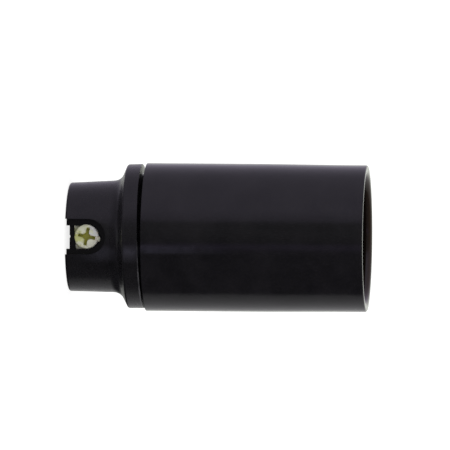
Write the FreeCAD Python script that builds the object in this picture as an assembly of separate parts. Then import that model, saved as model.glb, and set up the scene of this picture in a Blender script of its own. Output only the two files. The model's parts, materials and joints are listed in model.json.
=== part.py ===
"""Cord lamp holder for a small Edison screw lamp (E14), in phenolic moulding.

The holder stands on the end of its neck: the axis is +Z, the lamp's mouth opens upwards and the
clamping screw of the neck faces -Y. The origin is the centre of the neck's end face. Millimetres.
"""
import FreeCAD, Part
import math
import os

V = FreeCAD.Vector

# ---- driving dimensions -----------------------------------------------------------------
OVERALL = 57.6                  # neck end to mouth
SLEEVE_R = 14.29                # sleeve at its lower edge
SLEEVE_MOUTH_R = 14.16          # sleeve at its mouth, less by the draft of the mould
MOUTH_BORE_R = 12.28
SEAM_Z = 14.70                  # lower edge of the sleeve
CAP_RIM_Z = 14.05               # mean height of the cap's rim, under the seam
CAP_RIM_SLOPE = 0.018           # the rim is moulded a little askew, lower at -X
CAP_R = 13.82
NECK_R = 10.52                  # neck at its end, wider by its draft towards the shoulder
CORD_BORE_R = 4.60

CHAMBER_Z = 12.20               # floor of the wiring chamber
CHAMBER_R = 10.60
SPIGOT_Z = 21.00                # top of the cap's threaded spigot
SPIGOT_R = 12.35                # plain land of the spigot, a running fit in the sleeve
SPIGOT_ROOT_R = 11.85           # root of its thread
SLEEVE_BORE_R = 12.43

BLOCK_TOP_Z = 24.20             # insulating block that carries the contacts
BLOCK_BOTTOM_Z = 17.60
BLOCK_R = 11.80                 # passes inside the crests of the sleeve's thread
STRIP = 0.40                    # contact strip thickness
RIVET_X = 6.20                  # rivets of the two contacts, at -X and +X

SHELL_R = 6.99                  # screw shell, inside (E14)
SHELL_WALL = 0.35
SHELL_Z = 31.00
SHELL_TOP_Z = 45.35
COLLAR_R = 9.30                 # collar of the sleeve round the shell
SHELF_Z = 44.90                 # top of the shelf that carries the collar

TERMINAL_XY = (5.30, 4.70)      # terminal screw of the +X contact is at (x, -y)
TERMINAL_SCREW_R = 1.50         # M3
GRIP_Z = 4.00                   # height of the cord grip's screw
GRIP_SCREW_R = 1.25             # M2.5
LIP_RHO = 7.00                  # outer face of the lips over the nut, from the axis
T_SLOT_RHO = 5.20               # floor of the nut's slot, from the axis
NUT_TURN = -8                   # degrees the square nut has turned in its slot
RUNNING = 0.05                  # radial clearance of screws in their nuts


# ---- small makers -----------------------------------------------------------------------
def cylinder(radius, low, high, x=0.0, y=0.0):
    """Upright cylinder between two heights."""
    return Part.makeCylinder(radius, high - low, V(x, y, low))


def block(x0, x1, y0, y1, z0, z1):
    """Box between two corners."""
    return Part.makeBox(x1 - x0, y1 - y0, z1 - z0, V(x0, y0, z0))


def arc(a, middle, b):
    """Arc through three points given as (radius, height), in the XZ plane."""
    return Part.Arc(*(V(r, 0, z) for r, z in (a, middle, b))).toShape()


def line(a, b):
    """Straight edge between two points given as (radius, height)."""
    return Part.makeLine(V(a[0], 0, a[1]), V(b[0], 0, b[1]))


def taper(a, b):
    """Long slanted edge as a spline of two poles, so that what it sweeps is faceted in one row."""
    return Part.BSplineCurve([V(a[0], 0, a[1]), V(b[0], 0, b[1])], None, None, False, 1).toShape()


def outline(*points):
    """Open run of straight edges through points given as (radius, height)."""
    return [line(a, b) for a, b in zip(points[:-1], points[1:])]


def revolved(edges):
    """Solid of a closed half section, turned about the holder's axis."""
    face = Part.Face(Part.Wire(Part.__sortEdges__(edges)))
    return face.revolve(V(0, 0, 0), V(0, 0, 1), 360)


def corner(centre, radius, start, end, steps=3):
    """Small rounded corner about (radius, height) between two angles in degrees, in short cones."""
    angles = [math.radians(start + (end - start) * i / steps) for i in range(steps + 1)]
    return [(centre[0] + radius * math.cos(a), centre[1] + radius * math.sin(a)) for a in angles]


def u_prism(half_width, centre_z, y0, y1):
    """Slot cutter: open downwards, round at the top, running along Y."""
    straight = block(-half_width, half_width, y0, y1, -1.0, centre_z)
    turn = FreeCAD.Rotation(V(1, 0, 0), -90)
    round_end = Part.makeCylinder(half_width, y1 - y0)
    round_end.Placement = FreeCAD.Placement(V(0, y0, centre_z), turn)
    return straight.fuse(round_end).removeSplitter()


def along_y(radius, y0, y1, z):
    """Cylinder along Y at one height."""
    return Part.makeCylinder(radius, y1 - y0, V(0, y0, z), V(0, 1, 0))


def bent_strip(edges, width):
    """Strip of sheet bent to a line in the XZ plane, as wide as given along Y."""
    line_wire = Part.Wire(Part.__sortEdges__(edges))
    face = line_wire.makeOffset2D(STRIP, 0, True, True)
    face.translate(V(0, -width / 2, 0))
    return face.extrude(V(0, width, 0))


# ---- cap --------------------------------------------------------------------------------
def cap_outside():
    """Neck, hollow fillet, shoulder and skirt, up to the thread spigot."""
    end_round, fillet_r = 0.55, 1.50
    points = [(0, 0)] + corner((NECK_R - end_round, end_round), end_round, -90, 0, 2)
    points += corner((12.38, 9.12), fillet_r, 179, 113, 2)
    points += [(CAP_R - 0.44, 11.10), (CAP_R, 11.60), (CAP_R, 15.0), (0, 15.0), (0, 0)]
    return revolved(outline(*points))


def cap_rim_waste():
    """Ring above the slightly askew rim of the skirt, outside the spigot."""
    ring = cylinder(20, 12.5, 17).cut(cylinder(SPIGOT_R, 12, 18))
    below = block(-30, 30, -30, 30, -20, 0)
    below.rotate(V(0, 0, 0), V(0, 1, 0), -math.degrees(math.atan(CAP_RIM_SLOPE)))
    below.translate(V(0, 0, CAP_RIM_Z))
    return ring.cut(below)


def cap_bore():
    """Cord bore, eased at both its ends, and the wiring chamber."""
    mouth, funnel = 0.5, 0.6
    points = [(0, -1), (CORD_BORE_R + mouth + 1, -1), (CORD_BORE_R, mouth),
              (CORD_BORE_R, CHAMBER_Z - funnel), (CORD_BORE_R + funnel, CHAMBER_Z),
              (CHAMBER_R, CHAMBER_Z), (CHAMBER_R, 22), (0, 22), (0, -1)]
    return revolved(outline(*points))


def spigot():
    """Thread spigot: plain land and thread root."""
    land_z = 15.60
    return revolved(outline((0, 13), (SPIGOT_R, 13), (SPIGOT_R, land_z), (SPIGOT_ROOT_R, land_z),
                            (SPIGOT_ROOT_R, SPIGOT_Z), (0, SPIGOT_Z), (0, 13)))


def grip_recess():
    """Screw recess of the neck: wide U slot, narrow U slot through the lips, and the nut's T slot."""
    wide = u_prism(3.60, 4.26, -14, -LIP_RHO)
    narrow = u_prism(2.42, GRIP_Z, -LIP_RHO - 0.5, -T_SLOT_RHO)
    nut_slot = block(-3.05, 3.05, -6.30, -T_SLOT_RHO, -1, 7.30)
    end_step = block(-2.42, 2.42, -6.30, -CORD_BORE_R + 0.6, -1, 0.43)
    screw_hole = along_y(GRIP_SCREW_R + 0.15, -6, -2, GRIP_Z)
    return [wide, narrow, nut_slot, end_step, screw_hole]


def block_keys(half_width, inner, outer, bottom):
    """Two keys at -Y and +Y that stop the contact block from turning in the spigot."""
    return [block(-half_width, half_width, side * inner if side > 0 else -outer,
                  outer if side > 0 else -inner, bottom, SPIGOT_Z + 0.01) for side in (-1, 1)]


def make_cap():
    """One moulding: neck, shoulder, skirt and threaded spigot."""
    body = cap_outside().cut(cap_rim_waste()).fuse(spigot())
    waste = [cap_bore()] + grip_recess() + block_keys(1.25, 9.5, 13, 19.9)
    body = body.cut(waste).removeSplitter()
    return body


# ---- sleeve -----------------------------------------------------------------------------
def make_sleeve():
    """Long sleeve with its thread bore, inner shelf and hanging collar for the screw shell."""
    edge, rim_edge = 0.30, 0.20
    collar_z, shelf_low_z, wall_r = 31.85, 43.20, 11.20
    collar_bore = SHELL_R + SHELL_WALL + 0.08
    foot = (SLEEVE_R, SEAM_Z + edge)
    mouth = (SLEEVE_MOUTH_R, OVERALL - rim_edge)
    points = [mouth, (SLEEVE_MOUTH_R - rim_edge, OVERALL), (MOUTH_BORE_R, OVERALL),
              (MOUTH_BORE_R, SHELF_Z), (collar_bore, SHELF_Z), (collar_bore, collar_z),
              (COLLAR_R, collar_z), (COLLAR_R, shelf_low_z), (wall_r, shelf_low_z),
              (wall_r, BLOCK_TOP_Z + 0.05), (SLEEVE_BORE_R, BLOCK_TOP_Z + 0.05),
              (SLEEVE_BORE_R, SEAM_Z), (SLEEVE_R - edge, SEAM_Z), foot]
    return revolved([taper(foot, mouth)] + outline(*points))


def make_screw_shell():
    """Drawn shell of the lamp's thread: foot flange, wall and a lip rolled over the shelf."""
    outside, flange_r = SHELL_R + SHELL_WALL, 9.20
    lip_z, lip_r = SHELF_Z + 0.05, 8.45
    points = [(SHELL_R, SHELL_Z), (flange_r, SHELL_Z), (flange_r, SHELL_Z + SHELL_WALL),
              (outside, SHELL_Z + SHELL_WALL), (outside, lip_z), (lip_r, lip_z), (lip_r, SHELL_TOP_Z),
              (outside, SHELL_TOP_Z), (SHELL_R, SHELL_TOP_Z - SHELL_WALL), (SHELL_R, SHELL_Z)]
    return revolved(outline(*points))


# ---- contact block and contacts ---------------------------------------------------------
def terminal_plan(half_x, low_y, high_y, z0, z1):
    """Rectangle of a terminal plate at +X, its outer corner rounded off inside the chamber."""
    x = RIVET_X - 0.4
    plate = block(x - half_x, x + half_x, low_y, high_y, z0, z1)
    return plate.common(cylinder(10.2, z0, z1))


def turned(shape, half_turns):
    """Copy turned about the axis by half turns: the -X contact is the +X one turned once."""
    copy = shape.copy()
    copy.rotate(V(0, 0, 0), V(0, 0, 1), 180 * half_turns)
    return copy


def make_contact_block():
    """Round insulator that hangs in the spigot and carries both contacts and terminals."""
    body = cylinder(10.45, BLOCK_BOTTOM_Z, SPIGOT_Z).fuse(cylinder(BLOCK_R, SPIGOT_Z, BLOCK_TOP_Z))
    body = body.fuse(block_keys(1.15, 9.8, 11.25, 20.0))
    waste = []
    for half_turns in (0, 1):
        x, y = TERMINAL_XY
        waste += [turned(terminal_plan(2.65, -7.6, 2.5, BLOCK_BOTTOM_Z - 1, 18.2), half_turns),
                  turned(cylinder(TERMINAL_SCREW_R + 0.2, 18, 22.8, x, -y), half_turns),
                  turned(cylinder(1.25, 17, 25, RIVET_X, 0), half_turns),
                  turned(block(3.0, 9.8, -2.35, 2.35, BLOCK_TOP_Z - STRIP, 25), half_turns)]
    return body.cut(waste).removeSplitter()


def make_terminal(half_turns):
    """Brass terminal plate under the block, tapped for its screw."""
    x, y = TERMINAL_XY
    plate = terminal_plan(2.60, -7.5, 2.4, 17.2, 18.2)
    plate = plate.cut([cylinder(TERMINAL_SCREW_R + RUNNING, 17, 19, x, -y),
                       cylinder(1.25, 17, 19, RIVET_X, 0)])
    return turned(plate, half_turns)


def make_rivet(half_turns):
    """Tubular rivet that joins a terminal plate to its contact strip through the block."""
    head_z, head_r, head, edge = BLOCK_TOP_Z, 2.00, 0.55, 0.30
    points = [(0.6, 16.75), (1.9, 16.75), (1.9, 17.2), (1.2, 17.2), (1.2, head_z), (head_r, head_z)]
    points += corner((head_r - edge, head_z + head - edge), edge, 0, 90, 1)
    points += [(0, head_z + head), (0, 20), (0.6, 20), (0.6, 16.75)]
    body = revolved(outline(*points))
    body.translate(V(RIVET_X, 0, 0))
    return turned(body, half_turns)


def make_centre_contact():
    """Sprung strip that rises from its rivet at -X to the tip of the lamp, on the axis."""
    low = BLOCK_TOP_Z - STRIP
    edges = outline((-9.20, low), (-4.15, low))
    edges += [arc((-4.15, low), (-3.395, low + 0.255), (-2.95, low + 0.916))]
    edges += [line((-2.95, low + 0.916), (-1.75, 29.1))]
    edges += [arc((-1.75, 29.1), (0, 30.35), (1.75, 29.1)), line((1.75, 29.1), (2.15, 27.6))]
    return bent_strip(edges, 4.4).cut(cylinder(1.22, low - 1, low + 2, -RIVET_X, 0))


def make_side_contact():
    """Strip that stands up from its rivet at +X and bears under the screw shell's flange."""
    low, top = BLOCK_TOP_Z - STRIP, SHELL_Z - 0.05
    upright, bend = 9.60, 0.90
    turn, drop = upright - bend, bend * (1 - math.sqrt(0.5))
    edges = outline((3.60, low), (turn, low))
    edges += [arc((turn, low), (upright - drop, low + drop), (upright, low + bend))]
    edges += outline((upright, low + bend), (upright, top - bend))
    edges += [arc((upright, top - bend), (upright - drop, top - drop), (turn, top))]
    edges += [line((turn, top), (7.55, top))]
    return bent_strip(edges, 4.4).cut(cylinder(1.22, low - 1, low + 2, RIVET_X, 0))


def make_washer(half_turns):
    """Square clamping washer under a terminal screw."""
    x, y = TERMINAL_XY
    side, top = 4.6, 17.18
    plate = block(-side / 2, side / 2, -side / 2, side / 2, top - 0.6, top)
    plate = plate.cut(cylinder(TERMINAL_SCREW_R + RUNNING, top - 1, top + 1))
    plate.translate(V(x, -y, 0))
    return turned(plate, half_turns)


def make_terminal_screw(half_turns):
    """Cheese head terminal screw with a driving slot, its head towards the neck."""
    x, y = TERMINAL_XY
    seat, head_r, head = 17.18 - 0.6 - 0.02, 2.50, 1.80
    body = cylinder(head_r, seat - head, seat).fuse(cylinder(TERMINAL_SCREW_R, seat, 22.3))
    body = body.cut(block(-4, 4, -0.4, 0.4, seat - head - 1, seat - head + 0.9)).removeSplitter()
    body.translate(V(x, -y, 0))
    return turned(body, half_turns)


# ---- cord grip --------------------------------------------------------------------------
def make_grip_nut():
    """Square plate nut in the T slot of the neck, turned until its corners meet the walls."""
    side = 5.0
    plate = block(-side / 2, side / 2, -6.20, -5.30, -side / 2, side / 2)
    plate = plate.cut(along_y(GRIP_SCREW_R + RUNNING, -8, -4, 0))
    plate.rotate(V(0, 0, 0), V(0, 1, 0), NUT_TURN)
    plate.translate(V(0, 0, GRIP_Z))
    return plate


def pan_head(radius, height):
    """Pan head along +Z from its seat: short wall under a low dome."""
    wall = 0.55 * height
    points = [(0, 0), (radius, 0), (radius, wall), (0.92 * radius, 0.82 * height),
              (0.65 * radius, height), (0, height), (0, 0)]
    return revolved(outline(*points))


def cross_slot(head_r, top, depth):
    """Cross recess with tapered wings, and a driving slot across the head in line with one pair."""
    wing = 0.42
    cutters = [block(-head_r - 1, head_r + 1, -0.36, 0.36, top - 0.6, top + 1)]
    for quarter in (0, 1):
        wedge = Part.makeLoft([Part.Wire(Part.makePolygon(points)) for points in (
            [V(-0.55, -0.2, top - depth), V(0.55, -0.2, top - depth), V(0.55, 0.2, top - depth),
             V(-0.55, 0.2, top - depth), V(-0.55, -0.2, top - depth)],
            [V(-1.45, -wing, top + 0.3), V(1.45, -wing, top + 0.3), V(1.45, wing, top + 0.3),
             V(-1.45, wing, top + 0.3), V(-1.45, -wing, top + 0.3)])], True, True)
        wedge.rotate(V(0, 0, 0), V(0, 0, 1), 90 * quarter)
        cutters.append(wedge)
    return cutters


def make_grip_screw():
    """Combination cross and slot pan head screw of the cord grip, with a dog point."""
    head_r, head, length = 2.32, 1.60, 4.10
    body = pan_head(head_r, head).cut(cross_slot(head_r, head, 1.15))
    body = body.fuse([cylinder(GRIP_SCREW_R, -length, 0), cylinder(0.85, -length - 0.9, -length)])
    body = body.removeSplitter()
    body.rotate(V(0, 0, 0), V(0, 0, 1), 79)
    body.rotate(V(0, 0, 0), V(1, 0, 0), 90)
    body.translate(V(0, -LIP_RHO, GRIP_Z))
    return body


def make_grip_pad():
    """Insulating saddle on the screw's point, hollow towards the cord."""
    top, side_top, low = -2.88, -1.95, -0.40
    half, crown = 2.20, 1.30
    points = [V(-half, low, 0), V(-half, side_top, 0), V(-crown, top, 0), V(crown, top, 0),
              V(half, side_top, 0), V(half, low, 0)]
    hollow = Part.Arc(V(half, low, 0), V(0, low - 0.75, 0), V(-half, low, 0)).toShape()
    edges = [Part.makeLine(a, b) for a, b in zip(points[:-1], points[1:])] + [hollow]
    pad = Part.Face(Part.Wire(Part.__sortEdges__(edges))).extrude(V(0, 0, 5.6))
    pad.translate(V(0, 0, GRIP_Z - 2.8))
    return pad.cut(along_y(0.93, -4, -1.96, GRIP_Z))


# ---- everything -------------------------------------------------------------------------
def main():
    """Build every piece and write one STEP file for each."""
    pieces = {
        "cap": make_cap(),
        "sleeve": make_sleeve(),
        "screw_shell": make_screw_shell(),
        "contact_block": make_contact_block(),
        "centre_contact": make_centre_contact(),
        "side_contact": make_side_contact(),
        "grip_nut": make_grip_nut(),
        "grip_screw": make_grip_screw(),
        "grip_pad": make_grip_pad(),
    }
    for half_turns, name in enumerate(("side", "centre")):
        pieces[name + "_rivet"] = make_rivet(half_turns)
        pieces[name + "_terminal"] = make_terminal(half_turns)
        pieces[name + "_washer"] = make_washer(half_turns)
        pieces[name + "_terminal_screw"] = make_terminal_screw(half_turns)
    os.makedirs("parts", exist_ok=True)
    for name, shape in pieces.items():
        solids = shape.Solids
        print(name, "solids", len(solids), "valid", shape.isValid(), "volume", round(shape.Volume, 2))
        solids[0].exportStep("parts/%s.step" % name)


main()
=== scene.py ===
"""Looks of a small cord lamp holder (E14): a black phenolic cap and sleeve, the cord grip in the
neck, and the contacts and screw shell inside. The holder stands on its neck, its axis is +Z, the
grip's screw faces -Y and everything is in metres."""

import json
import math

import bmesh
import bpy
import numpy as np
from mathutils import Matrix, Vector


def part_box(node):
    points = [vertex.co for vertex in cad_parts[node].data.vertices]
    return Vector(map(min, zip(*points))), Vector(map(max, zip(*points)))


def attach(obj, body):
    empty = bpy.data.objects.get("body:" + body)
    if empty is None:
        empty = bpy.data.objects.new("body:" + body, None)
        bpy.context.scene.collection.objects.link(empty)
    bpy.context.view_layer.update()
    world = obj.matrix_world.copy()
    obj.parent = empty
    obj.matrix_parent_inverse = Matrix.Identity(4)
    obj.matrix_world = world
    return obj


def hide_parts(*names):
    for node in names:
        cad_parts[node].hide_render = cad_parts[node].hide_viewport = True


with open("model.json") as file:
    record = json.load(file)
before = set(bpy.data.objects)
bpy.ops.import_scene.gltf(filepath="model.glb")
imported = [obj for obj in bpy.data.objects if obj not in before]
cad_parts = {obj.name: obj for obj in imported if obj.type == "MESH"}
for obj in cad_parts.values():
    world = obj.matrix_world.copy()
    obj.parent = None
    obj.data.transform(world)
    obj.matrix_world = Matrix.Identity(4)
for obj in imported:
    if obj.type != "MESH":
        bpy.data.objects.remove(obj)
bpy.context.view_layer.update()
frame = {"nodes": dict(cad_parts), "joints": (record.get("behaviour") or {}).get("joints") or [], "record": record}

# ======================================================================================
# Contact block: a turned-looking disc of pale steatite, pressed and fired, that hangs in
# the cap's spigot. It carries both contacts below the lamp and both terminals in the
# wiring chamber, and two keys stop it from turning.
# ======================================================================================
mm = 0.001


def feed(tree, kind, inputs=(), **settings):
    """Adds one shader node. Settings are its own properties; inputs are its sockets' values, or the
    sockets that feed them."""
    node = tree.nodes.new(kind)
    for key, value in settings.items():
        setattr(node, key, value)
    for key, value in dict(inputs).items():
        if isinstance(value, bpy.types.NodeSocket):
            tree.links.new(value, node.inputs[key])
        else:
            node.inputs[key].default_value = value
    return node


def new_finish(name, **sockets):
    """Material with one Principled shader whose sockets start at the values given, and the place on
    the piece as its coordinate."""
    material = bpy.data.materials.new(name)
    material.use_nodes = True
    tree = material.node_tree
    shader = tree.nodes["Principled BSDF"]
    for key, value in sockets.items():
        shader.inputs[key.replace("_", " ")].default_value = value
    return material, tree, shader, feed(tree, "ShaderNodeTexCoord").outputs["Object"]


def noise(tree, place, size, detail=3.0, roughness=0.55):
    """Noise from 0 to 1 whose lumps are about as wide as the size given."""
    return feed(tree, "ShaderNodeTexNoise", {
        "Vector": place, "Scale": 1.0 / size, "Detail": detail, "Roughness": roughness}).outputs["Fac"]


def between(tree, factor, low, high, low_at=0.35, high_at=0.65):
    """Number that goes from low to high while the factor goes from low_at to high_at."""
    return feed(tree, "ShaderNodeMapRange", {
        "Value": factor, "From Min": low_at, "From Max": high_at,
        "To Min": low, "To Max": high}).outputs["Result"]


def calculate(tree, kind, first, second, *third):
    """Result of one Math node, such as ADD or MULTIPLY, on its inputs in order."""
    inputs = dict(enumerate((first, second, *third)))
    return feed(tree, "ShaderNodeMath", inputs, operation=kind).outputs[0]


def shades(tree, factor, stops):
    """Colour that follows the factor through stops given as (place, colour)."""
    ramp = feed(tree, "ShaderNodeValToRGB", {"Fac": factor})
    elements = ramp.color_ramp.elements
    while len(elements) < len(stops):
        elements.new(0.5)
    for element, (place, colour) in zip(elements, sorted(stops)):
        element.position = place
        element.color = (*colour, 1.0)
    return ramp.outputs["Color"]


def blend_colour(tree, factor, below, above):
    """Mix of two colours: all below at a factor of 0 and all above at 1."""
    mix = feed(tree, "ShaderNodeMix", data_type="RGBA")
    for key, value in (("Factor_Float", factor), ("A_Color", below), ("B_Color", above)):
        socket = next(s for s in mix.inputs if s.identifier == key)
        if isinstance(value, bpy.types.NodeSocket):
            tree.links.new(value, socket)
        else:
            socket.default_value = value
    return next(s for s in mix.outputs if s.identifier == "Result_Color")


def relief(tree, shader, height, depth):
    """Bump that follows the height, where a height of 1 stands for the depth given in metres."""
    bump = feed(tree, "ShaderNodeBump", {"Height": height, "Distance": depth, "Strength": 1.0})
    tree.links.new(bump.outputs["Normal"], shader.inputs["Normal"])


def steatite():
    """Pale fired steatite: dense, matt, with fine dark specks and a faint press grain."""
    material, tree, shader, place = new_finish(
        "fired_steatite", Roughness=0.62, Specular_IOR_Level=0.45)
    cloud = noise(tree, place, 3.5 * mm)
    speck = noise(tree, place, 0.22 * mm, 2.0)
    body = shades(tree, cloud, [(0.3, (0.72, 0.68, 0.60)), (0.7, (0.80, 0.77, 0.70))])
    colour = blend_colour(tree, between(tree, speck, 0.0, 0.5, 0.68, 0.76), body, (0.33, 0.27, 0.2, 1))
    tree.links.new(colour, shader.inputs["Base Color"])
    tree.links.new(between(tree, cloud, 0.55, 0.70), shader.inputs["Roughness"])
    relief(tree, shader, noise(tree, place, 0.12 * mm), 0.006 * mm)
    return material


def softened(node, name, width, finish, body, slot, segments=2):
    """Copy of a CAD node's mesh with its doubles merged, its flats made whole and its edges rounded
    over, which stands for that node."""
    mesh = frame["nodes"][node].data.copy()
    mesh.name = name
    work = bmesh.new()
    work.from_mesh(mesh)
    bmesh.ops.remove_doubles(work, verts=work.verts, dist=0.0005 * mm)
    bmesh.ops.dissolve_limit(work, angle_limit=math.radians(0.6), verts=work.verts, edges=work.edges)
    work.to_mesh(mesh)
    work.free()
    piece = bpy.data.objects.new(name, mesh)
    bpy.context.scene.collection.objects.link(piece)
    edges = piece.modifiers.new("edges", "BEVEL")
    edges.width = width
    edges.segments = segments
    edges.limit_method = "ANGLE"
    edges.angle_limit = math.radians(32)
    piece.modifiers.new("flats", "WEIGHTED_NORMAL")
    fit(piece, finish, body, slot, node)


def fit(piece, finish, body, slot, *nodes):
    """Gives a piece its finish, smooth shading and its body, and hides the CAD nodes it stands for. The slot is
    not used.
    """
    piece.data.materials.clear()
    piece.data.materials.append(finish)
    piece.data.polygons.foreach_set("use_smooth", np.ones(len(piece.data.polygons), bool))
    piece.data.polygons.foreach_set("material_index", np.zeros(len(piece.data.polygons), np.int32))
    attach(piece, body)
    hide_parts(*nodes)


softened("contact_block", "steatite_block", 0.10 * mm, steatite(), "cap_body", "steatite")

# ======================================================================================
# Contacts and rivets: the centre strip rises under the lamp's tip and the side strip bears
# under the shell's flange. Both are blanked and bent from phosphor bronze, and a tubular
# brass rivet holds each through the block to its terminal plate.
# ======================================================================================


def strip_bronze():
    """Rolled phosphor bronze: rolling lines along the strip, warm tarnish in patches."""
    material, tree, shader, place = new_finish("rolled_bronze", Metallic=1.0, Roughness=0.32)
    lines = feed(tree, "ShaderNodeMapping", {"Vector": place, "Scale": (1.0, 14.0, 1.0)})
    rolling = noise(tree, lines.outputs["Vector"], 1.6 * mm, 4.0)
    tarnish = noise(tree, place, 2.4 * mm, 4.0)
    colour = shades(tree, tarnish, [(0.30, (0.50, 0.28, 0.13)), (0.48, (0.72, 0.47, 0.26)),
                                    (0.72, (0.80, 0.57, 0.34))])
    tree.links.new(colour, shader.inputs["Base Color"])
    tree.links.new(between(tree, rolling, 0.24, 0.42), shader.inputs["Roughness"])
    relief(tree, shader, rolling, 0.004 * mm)
    return material


def rolled_brass():
    """Slightly dulled brass: fine brushed grain, darker blooms and brighter rubbed edges."""
    material, tree, shader, place = new_finish("dulled_brass", Metallic=1.0, Roughness=0.34)
    bloom = noise(tree, place, 1.9 * mm, 5.0)
    grain = noise(tree, place, 0.10 * mm, 2.0)
    rubbed = between(tree, feed(tree, "ShaderNodeNewGeometry").outputs["Pointiness"], 0, 1, 0.52, 0.60)
    body = shades(tree, bloom, [(0.30, (0.42, 0.27, 0.10)), (0.50, (0.74, 0.55, 0.25)),
                                (0.75, (0.82, 0.64, 0.33))])
    colour = blend_colour(tree, rubbed, body, (0.88, 0.72, 0.42, 1))
    tree.links.new(colour, shader.inputs["Base Color"])
    tree.links.new(between(tree, bloom, 0.42, 0.27), shader.inputs["Roughness"])
    relief(tree, shader, grain, 0.003 * mm)
    return material


bronze = strip_bronze()
brass = rolled_brass()
for end in ("centre", "side"):
    softened(end + "_contact", end + "_contact_strip", 0.06 * mm, bronze, "cap_body", "bronze")
    softened(end + "_rivet", end + "_tubular_rivet", 0.05 * mm, brass, "cap_body", "brass")
    softened(end + "_terminal", end + "_terminal_plate", 0.10 * mm, brass, "cap_body", "brass")

# ======================================================================================
# Terminal clamps: a square washer and a cheese head M3 screw under each terminal plate,
# steel, zinc plated with a pale yellow passivation. A driver reaches them from the wiring
# chamber.
# ======================================================================================


def passivated_zinc(name, centre, turn_axis="Y", metallic=0.5, painted_light_scale=(1.0, 1.0, 1.0)):
    """Zinc under a thin yellow chromate film, whose colour drifts from green gold through white to
    rose round the piece's axis and is olive in a driver's recess, with duller grey where it was
    handled. The last argument multiplies the film's colours; above 1 it is a painted brightening
    in place of light."""
    material, tree, shader, place = new_finish(name, Metallic=metallic, Roughness=0.42)
    here = feed(tree, "ShaderNodeMapping", {"Vector": place, "Location": tuple(-c for c in centre)})
    split = feed(tree, "ShaderNodeSeparateXYZ", {"Vector": here.outputs["Vector"]})
    across = split.outputs["Z"] if turn_axis == "Y" else split.outputs["Y"]
    wander = between(tree, noise(tree, place, 0.9 * mm, 4.0), -0.9, 0.9, 0.3, 0.7)
    angle = calculate(tree, "ADD", calculate(tree, "ARCTAN2", split.outputs["X"], across), wander)
    turn = between(tree, angle, 0.0, 1.0, -math.pi, math.pi)
    tints = ((0.00, (0.70, 0.72, 0.30)), (0.13, (0.97, 1.00, 0.72)), (0.25, (0.94, 0.96, 0.66)),
             (0.37, (1.00, 1.00, 0.97)), (0.45, (1.00, 0.90, 0.88)), (0.50, (0.97, 0.74, 0.62)),
             (0.56, (0.94, 0.92, 0.82)), (0.62, (0.92, 0.94, 0.74)), (0.75, (0.94, 0.97, 0.76)),
             (0.87, (1.00, 0.92, 0.72)), (1.00, (0.70, 0.72, 0.30)))
    film = shades(tree, turn, [
        (at, tuple(min(part * by, 1.0) for part, by in zip(tint, painted_light_scale))) for at, tint in tints])
    dull = noise(tree, place, 0.35 * mm, 5.0)
    grey = tuple(0.5 * by for by in painted_light_scale)
    handled = blend_colour(tree, between(tree, dull, 0.0, 0.30, 0.55, 0.75), film, (*grey, 1))
    recess = feed(tree, "ShaderNodeAttribute", attribute_name="recess").outputs["Fac"]
    colour = blend_colour(tree, recess, handled, (0.40, 0.39, 0.05, 1))
    tree.links.new(colour, shader.inputs["Base Color"])
    tree.links.new(between(tree, dull, 0.34, 0.52), shader.inputs["Roughness"])
    relief(tree, shader, dull, 0.008 * mm)
    return material


def skin(name, x, y, z, joined=True, **layers):
    """Mesh over a grid of points, rows by columns. Columns run round and meet. The last row meets the
    first when joined; otherwise both end rows have shrunk to a point and are merged. Layers are named
    values at each point."""
    rows, columns = x.shape
    near = np.arange(rows * columns).reshape(rows, columns)
    far = np.roll(near, -1, axis=0)
    if not joined:
        near, far = near[:-1], far[:-1]
    quads = np.stack([near, np.roll(near, -1, axis=1), np.roll(far, -1, axis=1), far], axis=-1)
    mesh = bpy.data.meshes.new(name)
    mesh.from_pydata(np.stack([x, y, z], axis=-1).reshape(-1, 3), [], quads.reshape(-1, 4))
    for key, values in layers.items():
        mesh.attributes.new(key, "FLOAT", "POINT").data.foreach_set("value", values.ravel())
    work = bmesh.new()
    work.from_mesh(mesh)
    bmesh.ops.remove_doubles(work, verts=work.verts, dist=0.0002 * mm)
    bmesh.ops.recalc_face_normals(work, faces=work.faces)
    work.to_mesh(mesh)
    work.free()
    piece = bpy.data.objects.new(name, mesh)
    bpy.context.scene.collection.objects.link(piece)
    return piece


def rounded(corners, segments=6, guard=0.05 * mm):
    """Closed outline through corners given as (radius, height, rounding). Each corner is cut back along
    both its edges by its rounding over the tangent of half its angle, and an arc tangent to both takes
    its place. A guard point just outside each arc keeps the flats flat."""
    points = np.array([corner[:2] for corner in corners], float)
    outline = []
    for before, corner, after, (_, _, radius) in zip(
            np.roll(points, 1, axis=0), points, np.roll(points, -1, axis=0), corners):
        if radius == 0:
            outline.append(corner[None])
            continue
        back = (before - corner) / np.linalg.norm(before - corner)
        ahead = (after - corner) / np.linalg.norm(after - corner)
        half = math.acos(float(back @ ahead)) / 2
        cut = radius / math.tan(half)
        centre = corner + (back + ahead) / np.linalg.norm(back + ahead) * radius / math.sin(half)
        spoke = corner + back * cut - centre
        end = corner + ahead * cut - centre
        sweep = math.atan2(spoke[0] * end[1] - spoke[1] * end[0], float(spoke @ end))
        a = np.linspace(0.0, sweep, segments + 1)
        arc = centre + np.stack([spoke[0] * np.cos(a) - spoke[1] * np.sin(a),
                                 spoke[0] * np.sin(a) + spoke[1] * np.cos(a)], axis=-1)
        outline += [(corner + back * (cut + guard))[None], arc, (corner + ahead * (cut + guard))[None]]
    return np.concatenate(outline)


def rising(value, start, run):
    """Ramp from 0 at the start to 1 after the run. A negative run goes the other way."""
    return np.clip((value - start) / run, 0.0, 1.0)


def round_thread(height, angle, pitch, depth):
    """How far the surface of a right-handed round thread lies below its crests: nothing on a crest and
    the depth in a root, as half the depth times one less the cosine of the turns."""
    turns = height / pitch - angle / (2.0 * np.pi)
    return 0.5 * depth * (1.0 - np.cos(2.0 * np.pi * turns))


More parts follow.
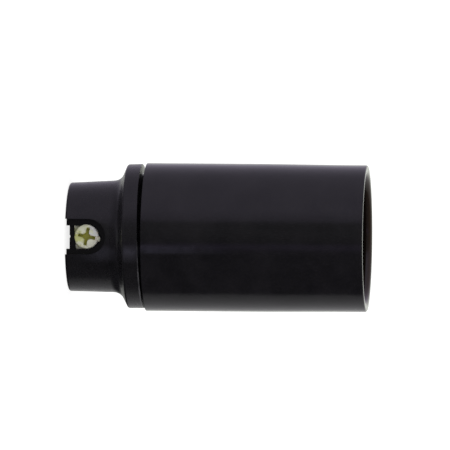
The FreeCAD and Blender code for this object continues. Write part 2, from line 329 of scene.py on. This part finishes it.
def whole_turn(columns):
    """Angles of the columns of a grid that goes once round."""
    return np.linspace(0.0, 2.0 * np.pi, columns, endpoint=False)[None, :]


def screw_grid(head_r, head, crown, shank_r, thread_depth, pitch, shank, point_r, point, drive,
               columns, burr=0.0):
    """Rows by columns of (radius, angle, height) over a whole screw, from the middle of its head to its
    tip, and how deep each point lies in the driver's recess. Height 0 is the head's seat, the head is
    above it and the shank below. The head's top is a dome, a parabola of the crown given, less the
    depth that drive(radius, angle) cuts. A burr stands out at one end of the slot."""
    angle = whole_turn(columns)
    edge = 0.16 * mm
    reach = np.concatenate([np.linspace(0.0, head_r - edge, 64),
                            head_r - edge + edge * np.sin(np.linspace(0.1, 0.5, 6) * np.pi)])[:, None]
    droop = edge - np.sqrt(np.maximum(edge ** 2 - np.maximum(reach - head_r + edge, 0.0) ** 2, 0.0))
    dome = head - crown * (reach / head_r) ** 2 - droop
    cut = drive(reach, angle)
    thinnest, burr_half, burr_run = 0.16 * head, 0.50 * mm, 0.2 * mm
    top = np.maximum(dome - cut, thinnest)
    in_slot = rising(np.abs(head_r * np.sin(angle)), burr_half, -0.08 * mm) * (np.cos(angle) > 0)
    reach = reach + burr * in_slot * rising(reach, head_r - burr_run, burr_run)
    wall = np.linspace(0.0, 1.0, 10)[1:, None]
    low = 0.08 * mm
    side = top[-1:] * (1 - wall) + low * wall
    side_r = head_r + burr * in_slot * np.clip(1.0 - 2.2 * wall, 0, 1)
    depth = np.arange(0.0, shank, pitch / 14.0)[:, None]
    ease = rising(depth, 0.0, pitch) * rising(depth, shank, -pitch)
    groove = ease * round_thread(-depth, angle, pitch, thread_depth)
    radius = np.concatenate([
        reach, side_r + 0.0 * side, (head_r - low) + 0.0 * angle, shank_r - groove,
        point_r + np.zeros((2, columns)), 0.0 * angle])
    height = np.concatenate([
        top, side, 0.0 * angle, -depth + 0.0 * angle,
        np.array([[-shank], [-shank - point]]) + 0.0 * angle, -shank - point + 0.0 * angle])
    recess = np.zeros_like(radius)
    recess[:len(cut)] = rising(cut, 0.55 * mm, 0.15 * mm)
    return radius, angle + 0.0 * radius, height, recess


def plain_slot(width, depth):
    """Driving slot along angle 0: full depth within half its width, with slightly sloped walls."""
    slope = 0.08 * mm

    def cut(radius, angle):
        return depth * rising(np.abs(radius * np.sin(angle)), (width + slope) / 2, -slope)
    return cut


def square_plate(half, hole_r, corner_r, edge, low, high, columns=160):
    """Square plate with a round hole. Round the plate, the outer reach is where the ray at that angle
    meets a square with rounded corners, as a high power mean of the two half widths. Each section goes
    out along the top, over a rounded edge, back along the bottom and up the hole."""
    angle = whole_turn(columns)
    power = 2.0 + 5.0 * half / corner_r
    outer = half / (np.abs(np.cos(angle)) ** power + np.abs(np.sin(angle)) ** power) ** (1.0 / power)
    a = np.linspace(0.0, 0.5 * np.pi, 5)
    inset = np.concatenate([edge * (1 - np.sin(a)), edge * (1 - np.cos(a))])
    level = np.concatenate([low + edge * (1 - np.cos(a)), high - edge * (1 - np.sin(a))])
    outside_r = outer - inset[:, None]
    inside_r = hole_r + inset[::-1][:, None] + 0.0 * angle
    radius = np.concatenate([outside_r, inside_r])
    height = np.concatenate([level, level[::-1]])[:, None] + 0.0 * angle
    return radius * np.cos(angle), radius * np.sin(angle), height


socket = next(m for m in frame["record"]["mounts"] if m["name"] == "lamp_socket")
joint = {j["name"]: j for j in frame["joints"]}
for end in ("centre", "side"):
    hub = Vector(joint[end + "_screw_turn"]["pos_m"])
    low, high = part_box(end + "_washer")
    zinc = passivated_zinc(end + "_clamp_zinc", (hub.x, hub.y, 0.0), "Z")
    x, y, z = square_plate(
        half=(high.x - low.x) / 2, hole_r=1.56 * mm, corner_r=0.45 * mm, edge=0.10 * mm,
        low=low.z, high=high.z)
    fit(skin(end + "_clamp_plate", x + hub.x, y + hub.y, z), zinc, end + "_clamp", "plated_steel",
        end + "_washer")
    low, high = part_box(end + "_terminal_screw")
    head, point = 1.80 * mm, 0.3 * mm
    seat = low.z + head
    radius, angle, height, _ = screw_grid(
        head_r=high.x - hub.x, head=head, crown=0.10 * mm, shank_r=1.49 * mm, thread_depth=0.24 * mm,
        pitch=0.5 * mm, shank=high.z - seat - point, point_r=1.05 * mm, point=point,
        drive=plain_slot(width=0.8 * mm, depth=0.9 * mm), columns=144)
    turned_over = (hub.x + radius * np.cos(angle), hub.y - radius * np.sin(angle), seat - height)
    fit(skin(end + "_clamp_screw", *turned_over, joined=False), zinc, end + "_screw", "plated_steel",
        end + "_terminal_screw")

# ======================================================================================
# Cap: one compression moulding in black phenolic. Neck, hollow fillet, shoulder and skirt
# outside, cord bore and wiring chamber inside, and a round-threaded spigot for the sleeve.
# The recess of the cord grip is cored out of the neck's side.
# ======================================================================================


def within(tree, place, *limits):
    """1 inside a region and 0 outside it, as the product of ramps. Each limit is a direction and the
    two places in millimetres where its ramp is 0 and 1. The direction R is the distance from the
    axis."""
    split = feed(tree, "ShaderNodeSeparateXYZ", {"Vector": place})
    flat = feed(tree, "ShaderNodeVectorMath", {0: place, 1: (1, 1, 0)}, operation="MULTIPLY")
    reach = feed(tree, "ShaderNodeVectorMath", {0: flat.outputs[0]}, operation="LENGTH")
    region = 1.0
    for axis, nothing, full in limits:
        value = reach.outputs["Value"] if axis == "R" else split.outputs[axis]
        ramp = between(tree, value, 0.0, 1.0, nothing * mm, full * mm)
        region = calculate(tree, "MULTIPLY", region, ramp)
    return region


def black_phenolic(name, roughness, seed, patches):
    """Black phenolic moulding: deep glossy skin with faint cloudy flow, a little orange peel, a few
    specks of dust, dust in the hollows and greyer edges. Each patch is a colour, how strong it is where
    it is weakest, and the limits of the region where it lies on the skin."""
    material, tree, shader, place = new_finish(name, IOR=1.5)
    shifted = feed(tree, "ShaderNodeMapping", {"Vector": place, "Location": (seed, seed, seed)})
    here = shifted.outputs["Vector"]
    cloud = noise(tree, here, 6.0 * mm, 5.0, 0.6)
    body = shades(tree, cloud, [(0.32, (0.0022, 0.0021, 0.0028)), (0.66, (0.0080, 0.0072, 0.0088))])
    bend = feed(tree, "ShaderNodeNewGeometry").outputs["Pointiness"]
    worn = blend_colour(tree, between(tree, bend, 0.0, 0.15, 0.54, 0.64), body, (0.030, 0.028, 0.030, 1))
    worn = blend_colour(tree, between(tree, bend, 1.0, 0.0, 0.44, 0.495), worn, (0.014, 0.013, 0.016, 1))
    grains = feed(tree, "ShaderNodeTexVoronoi", {"Vector": here, "Scale": 1 / (1.7 * mm)})
    spot = between(tree, grains.outputs["Distance"], 1.0, 0.0, 0.035, 0.065)
    chance = feed(tree, "ShaderNodeSeparateColor", {"Color": grains.outputs["Color"]})
    chosen = between(tree, chance.outputs["Red"], 0.0, 0.8, 0.94, 0.97)
    dust = calculate(tree, "MULTIPLY", spot, chosen)
    colour = blend_colour(tree, dust, worn, (0.45, 0.44, 0.42, 1))
    grain = between(tree, noise(tree, here, 0.30 * mm, 2.0), 0.0, 0.35, 0.50, 0.75)
    colour = blend_colour(tree, grain, colour, (0.022, 0.020, 0.024, 1))
    fine = noise(tree, here, 1.3 * mm, 4.0)
    blotch = noise(tree, here, 2.5 * mm, 4.0)
    for tone, least, limits in patches:
        strength = between(tree, blotch, least, 1.0)
        uneven = calculate(tree, "MULTIPLY", within(tree, place, *limits), strength)
        colour = blend_colour(tree, uneven, colour, (*tone, 1))
    tree.links.new(colour, shader.inputs["Base Color"])
    dulled = between(tree, fine, roughness - 0.03, roughness + 0.05, 0.3, 0.7)
    tree.links.new(dulled, shader.inputs["Roughness"])
    peel = calculate(tree, "ADD", fine, noise(tree, here, 0.18 * mm))
    flow_over_peel = 18.0
    waves = calculate(tree, "MULTIPLY_ADD", cloud, flow_over_peel, peel)
    relief(tree, shader, waves, 0.0025 * mm)
    return material


def applied(piece, *cutters):
    """Cuts the cutters out of the piece for good, and removes them."""
    for cutter in cutters:
        cut = piece.modifiers.new("cut", "BOOLEAN")
        cut.operation = "DIFFERENCE"
        cut.solver = "EXACT"
        cut.object = cutter
    view = bpy.context.evaluated_depsgraph_get()
    mesh = bpy.data.meshes.new_from_object(piece.evaluated_get(view))
    piece.modifiers.clear()
    piece.data = mesh
    for cutter in cutters:
        bpy.data.objects.remove(cutter)


def slot_cutter(half_width, centre_x, centre_z, y0, y1, low):
    """Cutter along Y between two depths: a U that is open downwards and round at its top."""
    a = np.linspace(0.0, np.pi, 33)
    u = centre_x + np.concatenate([[half_width], half_width * np.cos(a), [-half_width]])
    v = np.concatenate([[low], centre_z + half_width * np.sin(a), [low]])
    return prism(u, v, y0, y1)


def prism(u, v, y0, y1):
    """Closed outline in X and Z carried along Y from y0 to y1, with flat ends."""
    count = len(u)
    x, z = np.tile(u, 2), np.tile(v, 2)
    y = np.repeat([y0, y1], count)
    near = np.arange(count)
    sides = np.stack([near, np.roll(near, -1), np.roll(near, -1) + count, near + count], axis=-1)
    mesh = bpy.data.meshes.new("cutter")
    mesh.from_pydata(np.stack([x, y, z], axis=-1), [], [*sides.tolist(), near.tolist(),
                                                         (near + count).tolist()])
    work = bmesh.new()
    work.from_mesh(mesh)
    bmesh.ops.recalc_face_normals(work, faces=work.faces)
    work.to_mesh(mesh)
    work.free()
    cutter = bpy.data.objects.new("cutter", mesh)
    bpy.context.scene.collection.objects.link(cutter)
    return cutter


def square_cutter(x0, x1, y0, y1, z0, z1):
    """Cutter with square corners between two corners."""
    return prism(np.array([x0, x1, x1, x0]), np.array([z0, z0, z1, z1]), y0, y1)


def turned(ring, columns):
    """Grid of (angle, radius, height) of a ring of (radius, height) points carried round the axis."""
    angle = whole_turn(columns)
    return angle, ring[:, :1] + 0.0 * angle, ring[:, 1:] + 0.0 * angle


def in_mm(*corners):
    """Corners in metres, from corners whose numbers are all in millimetres."""
    return [tuple(number * mm for number in corner) for corner in corners]


sleeve_low, sleeve_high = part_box("sleeve")
lift = joint["sleeve_lift"]["range_m"][1]
thread_pitch = lift / (joint["sleeve_turn"]["range_deg"][1] / 360.0)
thread_depth, thread_play, thread_step = 0.42 * mm, 0.08 * mm, 0.07 * mm

# Outside: neck, fillet, shoulder, skirt and rim, then the undercut at the spigot's foot and the
# crests of its thread.
spigot_r, spigot_top = 12.35 * mm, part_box("cap")[1].z
rim_z, neck_mouth_r = 14.32, 5.10
outline = rounded(in_mm(
    (neck_mouth_r, 0.0, 0.15), (10.48, 0.0, 0.40), (10.85, 10.0, 2.3), (13.90, 11.42, 0.45),
    (13.93, rim_z, 0.15), (12.35, rim_z, 0.10), (11.50, 15.30, 0.10), (12.35, 15.65, 0.05)))
thread_z = np.arange(15.70 * mm, spigot_top - 0.45 * mm, thread_step)
thread = np.stack([np.full_like(thread_z, spigot_r), thread_z], axis=-1)

# Inside: wiring chamber, its sloped floor and the cord's bore. The rounding where it meets the
# outside at the neck's mouth is already there.
chamber_r, chamber_z, cord_bore_r, top = 10.60, 12.20, 4.60, spigot_top / mm
inside = rounded(in_mm(
    (neck_mouth_r, 0.0, 0.15), (11.35, top, 0.12), (chamber_r, top, 0.12), (chamber_r, chamber_z, 0.8),
    (7.60, chamber_z, 0.25), (cord_bore_r, 10.6, 0.3), (cord_bore_r, 0.5, 0.15)))
from_mouth = np.hypot(inside[:, 0] - neck_mouth_r * mm, inside[:, 1])
ring = np.concatenate([outline, thread, inside[from_mouth > 1.2 * mm]])

angle, radius, height = turned(ring, 264)
ring_r, ring_z = ring[:, :1], ring[:, 1:]
on_thread = (np.abs(ring_r - spigot_r) < 1e-7) & (ring_z > 15.6 * mm)
wave = rising(height, 15.65 * mm, 0.4 * mm) * round_thread(height, angle, thread_pitch, thread_depth)
radius = np.where(on_thread, spigot_r - wave, radius)

# The rim slopes a little across X, and the outside leans with its height, because the cap has
# been screwed on askew.
rim_slope, lean, upright_z = 0.022, -0.0178, 4.9 * mm
slopes = rising(ring_z, 9.5 * mm, 4.8 * mm) * (ring_z < 15.5 * mm) * (ring_r > 10.7 * mm)
leans = (ring_r > 9.5 * mm) & (ring_z < 12 * mm) | (ring_r > 12.6 * mm)
height = height + slopes * rim_slope * radius * np.cos(angle)
x = radius * np.cos(angle) + lean * (ring_z - upright_z) * leans
cap = skin("cap_moulding", x, radius * np.sin(angle), height)

# The recess of the cord grip is a wide U down to the lips, a narrow U through them for the
# screw, a T slot behind them for the nut, and a step at the neck's end. Two notches in the
# spigot's top take the block's keys.
lip_y, slot_floor_y, below_neck, outside_neck = -7.00 * mm, -5.20 * mm, -1.0 * mm, -14.0 * mm
t_half, t_front_y, t_top, key_half = 3.05 * mm, -6.30 * mm, 7.30 * mm, 1.25 * mm
grip = Vector(joint["grip_screw_turn"]["pos_m"])
applied(cap,
        slot_cutter(half_width=3.42 * mm, centre_x=0.04 * mm, centre_z=4.45 * mm,
                    y0=outside_neck, y1=lip_y, low=below_neck),
        slot_cutter(half_width=2.235 * mm, centre_x=0.145 * mm, centre_z=grip.z,
                    y0=lip_y - 0.5 * mm, y1=slot_floor_y, low=below_neck),
        square_cutter(-t_half, t_half, t_front_y, slot_floor_y, below_neck, t_top),
        square_cutter(-2.09 * mm, 2.38 * mm, -6.29 * mm, -4.0 * mm, below_neck, 0.43 * mm),
        square_cutter(-key_half, key_half, 9.5 * mm, 13.0 * mm, 19.9 * mm, 22.0 * mm),
        square_cutter(-key_half, key_half, -13.0 * mm, -9.5 * mm, 19.9 * mm, 22.0 * mm))
edges = cap.modifiers.new("edges", "BEVEL")
edges.width, edges.segments = 0.15 * mm, 3
edges.limit_method, edges.angle_limit = "ANGLE", math.radians(38)
cap.modifiers.new("flats", "WEIGHTED_NORMAL")

# Patches on the skin: a greasy smear that is partly a painted sheen, dust in the fillet, a paler line along the
# rim's +X side and painted shade in the recess.
on_screw_side = ("Y", 0.0, -2.0)
# The smear is lighter and bluer on the side facing the screw and is partly a painted sheen.
smear_and_painted_sheen = ((0.036, 0.034, 0.047), 0.4, (("X", 1.4, 2.8), ("X", 5.2, 3.2), ("Z", 1.5, 6.5), on_screw_side))
dusty_fillet = ((0.017, 0.016, 0.019), 0.7, (("Z", 8.4, 10.3), ("Z", 11.9, 11.2), ("R", 10.2, 10.6)))
# A paler line along the rim, on its +X side only.
pale_rim_line = ((0.100, 0.097, 0.105), 0.3, (("X", 0.3, 2.0), ("Z", 14.22, 14.34), ("R", 13.5, 13.6)))
# Painted shade: the recess of the cord grip is made near black.
painted_shade_in_recess = ((0.0006, 0.0006, 0.0006), 1.0, (
    ("X", -3.8, -3.5), ("X", 3.8, 3.5), ("Y", -9.2, -8.2), ("Y", -3.0, -4.0), ("Z", 8.4, 8.0)))
cap_finish = black_phenolic("cap_phenolic", roughness=0.27, seed=0.31,
                            patches=(smear_and_painted_sheen, dusty_fillet, pale_rim_line, painted_shade_in_recess))
fit(cap, cap_finish, "cap_body", "phenolic", "cap")

# ======================================================================================
# Cord grip: a square plate nut in the neck's T slot, a combination cross and slot pan head
# M2.5 screw, and the insulating saddle on its point that presses on the cord.
# ======================================================================================


def cross_and_slot(width, depth, wing, wing_reach, wing_depth, star):
    """Driving slot right across the head along angle 0, a cross whose wings taper towards their foot,
    and a star with hollow sides in its middle: at each place the deepest of them. The star's sides are
    where the roots of the two distances from the wings' centre lines add up to the root of its reach."""
    slot = plain_slot(width, depth)

    def cut(radius, angle):
        u, v = np.abs(radius * np.cos(angle)), np.abs(radius * np.sin(angle))
        deep = slot(radius, angle)
        for along, off in ((u, v), (v, u)):
            inward = rising(along, wing_reach, -0.30 * wing_depth)
            sideways = rising(off, wing, -0.16 * wing_depth)
            deep = np.maximum(deep, wing_depth * np.minimum(inward, sideways))
        inside = rising((np.sqrt(u) + np.sqrt(v)) ** 2, star, -0.5 * wing_depth)
        return np.maximum(deep, wing_depth * inside * (np.maximum(u, v) < 0.9 * wing_reach))
    return cut


low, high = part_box("grip_nut")
nut_turn, head_gap = math.radians(-5), 0.03 * mm
x, y, z = square_plate(
    half=2.42 * mm, hole_r=1.30 * mm, corner_r=0.35 * mm, edge=0.10 * mm,
    low=low.y + head_gap, high=high.y)
# Painted light: the nut's film is made brighter and less yellow in place of the light its recess keeps off.
fit(skin("grip_plate_nut", grip.x + x * math.cos(nut_turn) + y * math.sin(nut_turn), z,
         grip.z - x * math.sin(nut_turn) + y * math.cos(nut_turn)),
    passivated_zinc("grip_nut_zinc", (grip.x, 0.0, grip.z), metallic=0.1, painted_light_scale=(1.05, 1.05, 1.15)),
    "cap_body", "plated_steel", "grip_nut")

low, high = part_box("grip_screw")
slot_turn = math.radians(11)
radius, angle, height, recess = screw_grid(
    head_r=(high.x - low.x) / 2, head=grip.y - low.y, crown=0.34 * mm, shank_r=1.24 * mm,
    thread_depth=0.20 * mm, pitch=0.45 * mm, shank=4.10 * mm, point_r=0.85 * mm, point=0.88 * mm,
    drive=cross_and_slot(width=0.76 * mm, depth=0.50 * mm, wing=0.39 * mm, wing_reach=1.85 * mm,
                         wing_depth=1.25 * mm, star=2.25 * mm),
    columns=264, burr=0.34 * mm)
from_x = angle + math.pi / 2 - slot_turn
# Painted light: the screw's film is made brighter in place of the light its recess keeps off.
fit(skin("grip_driver_screw", grip.x + radius * np.cos(from_x), grip.y - height,
         grip.z + radius * np.sin(from_x), joined=False, recess=recess),
    passivated_zinc("grip_screw_zinc", (grip.x, 0.0, grip.z), metallic=0.02, painted_light_scale=(1.1, 1.1, 1.1)),
    "grip_driver", "plated_steel", "grip_screw")


def saddle_fibre():
    """Dark moulded fibre, matt, with short pale flecks."""
    material, tree, shader, place = new_finish("saddle_fibre", Roughness=0.6)
    streaks = feed(tree, "ShaderNodeMapping", {"Vector": place, "Scale": (1.0, 1.0, 0.2)})
    fleck = noise(tree, streaks.outputs["Vector"], 0.25 * mm, 4.0)
    colour = shades(tree, fleck, [(0.35, (0.030, 0.027, 0.024)), (0.60, (0.060, 0.052, 0.045)),
                                  (0.75, (0.16, 0.14, 0.11))])
    tree.links.new(colour, shader.inputs["Base Color"])
    tree.links.new(between(tree, fleck, 0.5, 0.7), shader.inputs["Roughness"])
    relief(tree, shader, fleck, 0.008 * mm)
    return material


softened("grip_pad", "grip_saddle_pad", 0.12 * mm, saddle_fibre(), "grip_saddle", "fibre", 3)

# ======================================================================================
# Screw shell: drawn from thin brass and rolled to the lamp's round thread, nickel plated.
# Its foot flange and the lip rolled over the sleeve's shelf hold it captive.
# ======================================================================================


def satin_nickel():
    """Nickel over drawn brass: satin, with draw lines round it and a warm cast in the roots."""
    material, tree, shader, place = new_finish("satin_nickel", Metallic=1.0, Roughness=0.3)
    lines = feed(tree, "ShaderNodeMapping", {"Vector": place, "Scale": (1.0, 1.0, 25.0)})
    drawn = noise(tree, lines.outputs["Vector"], 3.0 * mm, 4.0)
    bloom = noise(tree, place, 2.2 * mm, 4.0)
    colour = shades(tree, bloom, [(0.30, (0.56, 0.50, 0.40)), (0.60, (0.72, 0.68, 0.60))])
    tree.links.new(colour, shader.inputs["Base Color"])
    tree.links.new(between(tree, drawn, 0.22, 0.38), shader.inputs["Roughness"])
    relief(tree, shader, drawn, 0.004 * mm)
    return material


shell_low, shell_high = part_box("screw_shell")
shell_r, gauge = socket["dims"]["r_mm"] * mm, 0.35 * mm
back_r, foot_r, foot_z = shell_r + gauge, shell_high.x, shell_low.z
lamp_pitch, lamp_depth = 2.822 * mm, 0.80 * mm
lip_z, lip_r = 44.95 * mm, 8.25 * mm
wall_z = np.linspace(foot_z + 0.9 * mm, lip_z - 0.5 * mm, 90)
up = np.stack([np.full_like(wall_z, shell_r), wall_z], axis=-1)
down = np.stack([np.full_like(wall_z, back_r), wall_z[::-1]], axis=-1)
flange = rounded([
    (back_r, foot_z + 2 * mm, 0), (back_r, foot_z + gauge, 0.10 * mm),
    (foot_r, foot_z + gauge, 0.12 * mm), (foot_r, foot_z, 0.12 * mm),
    (shell_r, foot_z, 0.30 * mm), (shell_r, foot_z + 2 * mm, 0)])[1:-1]
lip = rounded([
    (shell_r, lip_z - 1 * mm, 0), (shell_r, shell_high.z, 0.35 * mm), (lip_r, shell_high.z, 0.17 * mm),
    (lip_r, lip_z, 0.17 * mm), (back_r, lip_z, 0.0), (back_r, lip_z - 1 * mm, 0)])[1:-1]
angle, radius, height = turned(np.concatenate([flange, up, lip, down]), 180)
fade = rising(height, wall_z[0], 1.2 * mm) * rising(height, wall_z[-1], -1.2 * mm)
radius = radius - fade * round_thread(height, angle, lamp_pitch, lamp_depth)
fit(skin("lamp_screw_shell", radius * np.cos(angle), radius * np.sin(angle), height),
    satin_nickel(), "shell_carrier", "nickel_brass", "screw_shell")

# ======================================================================================
# Sleeve: the long outer moulding, black phenolic with a glossier skin than the cap. It has
# the draft of its mould, a round thread inside its foot, and a shelf and hanging collar
# that hold the screw shell.
# ======================================================================================
foot, mouth, root_r = sleeve_low.z / mm + 0.22, sleeve_high.z / mm, 12.43
shelf_z, shelf_low_z, collar_r, collar_bore_r, collar_z, seat_z = 44.9, 43.2, 9.30, 7.42, 31.85, 24.25

# Outside from the foot to the mouth, then the mouth, the shelf, the collar with the slot behind
# it, and the seat of the contact block. Two very large roundings make the outside swell a little.
outside = rounded(in_mm(
    (12.83, foot, 0.10), (sleeve_high.x / mm, foot, 0.12), (14.285, 38, 400), (14.165, 52, 400),
    (14.16, mouth, 0.35), (12.28, mouth, 1.10), (12.17, shelf_z, 1.0),
    (collar_bore_r, shelf_z, 0.15), (collar_bore_r, collar_z, 0.15), (collar_r, collar_z, 0.2),
    (collar_r, shelf_low_z, 0.5), (11.10, shelf_low_z, 0.5), (11.30, seat_z, 0.1),
    (root_r, seat_z, 0.1), (root_r, 23.0, 0.0)))
bore_z = np.arange(22.2 * mm, 15.5 * mm, -thread_step)
bore = np.stack([np.full_like(bore_z, spigot_r + thread_play), bore_z], axis=-1)
ring = np.concatenate([outside, bore, in_mm((root_r, 15.4))])
angle, radius, height = turned(ring, 264)
ring_r, ring_z = ring[:, :1], ring[:, 1:]
on_thread = (np.abs(ring_r - spigot_r - thread_play) < 1e-7) & (ring_z < 22.21 * mm) & (
    ring_z > 15.45 * mm)
ease = rising(height, 16.0 * mm, 0.5 * mm) * rising(height, 22.0 * mm, -0.8 * mm)
wave = ease * round_thread(height, angle, thread_pitch, thread_depth)
radius = np.where(on_thread, radius - wave, radius)
sleeve = skin("sleeve_moulding", radius * np.cos(angle), radius * np.sin(angle), height)

# Patches on the skin: a greasy smear that is partly a painted sheen, painted shade inside the mouth and a painted
# brownish reflection on the inner edge of the mouth.
# The smear is lighter and bluer on the side facing the screw and is partly a painted sheen.
smear_and_painted_sheen = ((0.022, 0.021, 0.030), 0.3, (
    ("X", 1.3, 1.9), ("X", 3.4, 2.9), ("Z", 34.0, 16.0), on_screw_side))
# Painted shade: the inside above the shelf is made darker.
painted_shade_inside = ((0.0022, 0.0015, 0.0011), 1.0, (("R", 12.7, 12.4), ("Z", 44.0, 45.0)))
# Painted reflection: the inner rounding of the mouth is made a paler brown.
painted_brown_sheen_on_mouth = ((0.0200, 0.0110, 0.0050), 1.0, (("R", 13.4, 13.0), ("Z", 56.0, 57.4)))
sleeve_finish = black_phenolic("sleeve_phenolic", roughness=0.14, seed=0.0,
                               patches=(smear_and_painted_sheen, painted_shade_inside, painted_brown_sheen_on_mouth))
fit(sleeve, sleeve_finish, "sleeve_body", "phenolic", "sleeve")

# ======================================================================================
# Studio: a white floor, an even white surround that the lens sees as pure white, and a soft
# box and dark boards round the holder, which show as the bands in its gloss.
# ======================================================================================
floor_mesh = bpy.data.meshes.new("floor")
half_side, grey, glow = 4.0, 0.36, 0.80
corners = [(x * half_side, y * half_side, 0) for x, y in ((-1, -1), (1, -1), (1, 1), (-1, 1))]
floor_mesh.from_pydata(corners, [], [(0, 1, 2, 3)])
floor = bpy.data.objects.new("floor", floor_mesh)
bpy.context.scene.collection.objects.link(floor)
paper, tree, shader, place = new_finish("white_paper", Roughness=0.9, Specular_IOR_Level=0.1)
shader.inputs["Base Color"].default_value = (grey, grey, grey, 1)
shader.inputs["Emission Color"].default_value = (1, 1, 1, 1)
seen = feed(tree, "ShaderNodeLightPath").outputs["Is Camera Ray"]
tree.links.new(calculate(tree, "MULTIPLY", seen, glow), shader.inputs["Emission Strength"])
floor_mesh.materials.append(paper)
floor.visible_glossy = False

# Brightness that the gloss sees, by the direction round the holder's axis in degrees, and how blue it
# is: 0 is towards the screw, 90 towards +X. A soft box stands at the -X side, the +X side is dark and
# the far side is bright.
bands_round = [
    (-180, 1.00, -0.05), (-150, 0.62, 0.16), (-135, 0.50, 0.16), (-115, 0.43, 0.16), (-100, 0.45, 0.16),
    (-70, 0.50, 0.16), (-45, 0.52, 0.16), (-40, 0.50, 0.16), (-30, 0.40, 0.16), (-26, 0.36, 0.16),
    (-23, 0.18, 0.05), (-5, 0.165, 0.05), (9, 0.11, 0.05), (11, 0.20, 0.3), (17, 0.20, 0.3),
    (20, 0.13, 0.2), (25, 0.10, 0.1), (60, 0.09, 0.1), (99, 0.07, 0.1), (101, 0.30, 0.02),
    (106, 0.35, 0.02), (120, 0.45, 0.02), (150, 0.60, 0.02), (180, 1.00, -0.05)]
world = bpy.data.worlds.new("studio")
bpy.context.scene.world = world
world.use_nodes = True
tree = world.node_tree
background = tree.nodes["Background"]
toward = feed(tree, "ShaderNodeSeparateXYZ", {
    "Vector": feed(tree, "ShaderNodeTexCoord").outputs["Generated"]})
to_screw = calculate(tree, "MULTIPLY", toward.outputs["Y"], -1.0)
round_axis = calculate(tree, "ARCTAN2", toward.outputs["X"], to_screw)
turn = between(tree, round_axis, 0.0, 1.0, -math.pi, math.pi)
bands = shades(tree, turn, [
    ((degrees + 180) / 360, (light, light * (1 - 0.5 * blue), light * (1 + blue)))
    for degrees, light, blue in bands_round])

# The bands darken towards straight down, sooner on the +X side, and even out towards straight up.
upward = toward.outputs["Z"]
dark_side = between(tree, toward.outputs["X"], 0.0, 1.0, -0.10, 0.35)
sooner = calculate(tree, "MULTIPLY", dark_side, between(tree, upward, 1.0, 0.0, -0.28, -0.12))
below = calculate(tree, "MAXIMUM", sooner, between(tree, upward, 0.60, 0.0, -0.80, -0.10))
overhead = between(tree, upward, 0.0, 0.4, 0.35, 0.80)
bands = blend_colour(tree, below, bands, (0.02, 0.02, 0.024, 1))
bands = blend_colour(tree, overhead, bands, (0.16, 0.155, 0.15, 1))
rays = feed(tree, "ShaderNodeLightPath").outputs
seen = calculate(tree, "MAXIMUM", rays["Is Camera Ray"], rays["Is Transmission Ray"])
white = (1, 1, 1, 1)
plain = blend_colour(tree, rays["Is Glossy Ray"], white, bands)
tree.links.new(blend_colour(tree, seen, plain, white), background.inputs["Color"])

# The lens stands level with the holder's side and a little above it, with the axis across its frame
# and a slight roll.
aim = Vector((-0.00242, 0.0, 0.03002))
stand = Vector((-0.00242, -1.6, 0.1694))
lens = bpy.data.cameras.new("lens")
lens.sensor_width, lens.lens = 36.0, 665.6
lens.clip_end = 20.0
camera = bpy.data.objects.new("camera", lens)
bpy.context.scene.collection.objects.link(camera)
back = (stand - aim).normalized()
across = (Vector((0, 0, 1)) - back * back.z).normalized()
roll = math.radians(0.45)
right = across * math.cos(roll) + back.cross(across) * math.sin(roll)
above = back.cross(right)
camera.matrix_world = Matrix(((*right, 0), (*above, 0), (*back, 0), (*stand, 1))).transposed()
bpy.context.scene.camera = camera

bpy.context.scene.view_settings.view_transform = "Standard"
